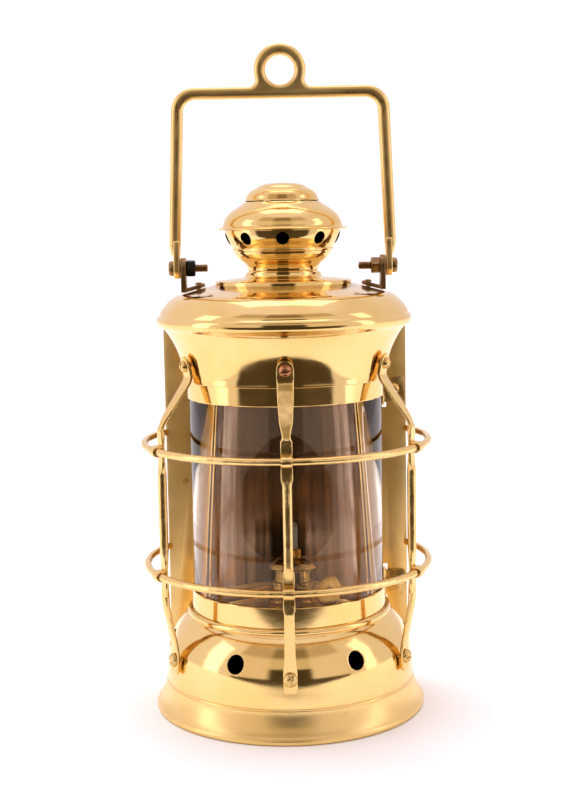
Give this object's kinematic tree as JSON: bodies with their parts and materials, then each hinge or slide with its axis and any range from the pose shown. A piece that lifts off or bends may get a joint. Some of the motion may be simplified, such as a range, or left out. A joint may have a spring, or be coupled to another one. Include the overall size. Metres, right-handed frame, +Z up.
{
  "type": "ship lantern",
  "caption": "Spun-brass ship lantern: glass in a wire guard, vented chimney, hanging bail, hinged rear reflector door and lift-out wick burner.",
  "frame": {"origin": "on the lantern's axis, level with the underside of the foot", "axes": "+Z up, the middle guard bar (the front) faces -Y, +X is to the right seen from the front"},
  "size_m": [0.1416, 0.1382, 0.3207],
  "materials": {
    "polished_brass": "polished and lacquered",
    "burner_brass": "duller, darkened by heat and oil",
    "clear_glass": "clear, thick, smooth",
    "tinned_sheet": "bright tin with vertical rolling marks",
    "dark_steel": "blackened",
    "wick_cotton": "woven cotton tape, frayed tip"
  },
  "bodies": {
    "lantern": {"back_wing_left": "polished_brass", "back_wing_right": "polished_brass", "bail_bolt_left": "polished_brass", "bail_bolt_right": "polished_brass", "bail_bracket_left": "polished_brass", "bail_bracket_right": "polished_brass", "bail_nut_left": "dark_steel", "bail_nut_right": "polished_brass", "base_floor": "polished_brass", "base_shell": "polished_brass", "bracket_rivets": "polished_brass", "chimney_body": "polished_brass", "chimney_cap": "polished_brass", "chimney_knob": "polished_brass", "crown_plate": "polished_brass", "glass": "clear_glass", "glass_channel_left": "polished_brass", "glass_channel_right": "polished_brass", "guard_bar_front": "polished_brass", "guard_bar_left": "polished_brass", "guard_bar_right": "polished_brass", "guard_clips": "polished_brass", "guard_ring_lower": "polished_brass", "guard_ring_upper": "polished_brass", "guard_screws_bottom": "polished_brass", "guard_screws_top": "polished_brass", "hinge_leaf_lower": "polished_brass", "hinge_leaf_upper": "polished_brass", "hinge_pins": "polished_brass", "hinge_screws": "polished_brass", "inner_flue": "burner_brass", "latch_rivet": "polished_brass", "lower_glass_band": "polished_brass", "tank_well_ring": "burner_brass", "top_shell": "polished_brass", "upper_glass_band": "polished_brass"},
    "bail": {"bail": "polished_brass"},
    "rear_door": {"door_panel": "polished_brass", "reflector": "tinned_sheet", "door_hinge_leaves": "polished_brass"},
    "door_latch": {"turn_button": "polished_brass"},
    "tank": {"oil_tank": "burner_brass", "burner_collar": "burner_brass", "burner_body": "burner_brass", "burner_gallery": "burner_brass", "flame_dome": "burner_brass", "wick_tube": "burner_brass"},
    "wick_wheel": {"thumb_wheel": "burner_brass", "wick_spindle": "burner_brass", "wick_gears": "burner_brass"},
    "wick_strip": {"wick": "wick_cotton"}
  },
  "joints": [
    {"name": "bail_swing", "type": "hinge", "parent": "lantern", "child": "bail", "pos_m": [0, 0, 0.2154], "axis": [1, 0, 0], "range_deg": [-110, 110]},
    {"name": "door_swing", "type": "hinge", "parent": "lantern", "child": "rear_door", "pos_m": [0.049, 0.0311, 0.106], "axis": [0, 0, -1], "range_deg": [0, 75]},
    {"name": "latch_turn", "type": "hinge", "parent": "lantern", "child": "door_latch", "pos_m": [-0.0522, 0.0338, 0.106], "axis": [0, 1, 0], "range_deg": [0, 90]},
    {"name": "tank_lift", "type": "slide", "parent": "lantern", "child": "tank", "axis": [0, 0, 1], "range_m": [0, 0.045]},
    {"name": "wheel_turn", "type": "hinge", "parent": "tank", "child": "wick_wheel", "pos_m": [-0.00136, -0.00244, 0.0647], "axis": [0.5878, -0.809, 0], "range_deg": [-150, 150]},
    {"name": "wick_raise", "type": "slide", "parent": "tank", "child": "wick_strip", "axis": [0, 0, 1], "range_m": [-0.0085, 0.0085]}
  ],
  "couplings": [
    {"joint": "wick_raise", "follows": "wheel_turn", "m_per_rad": 0.0032}
  ]
}
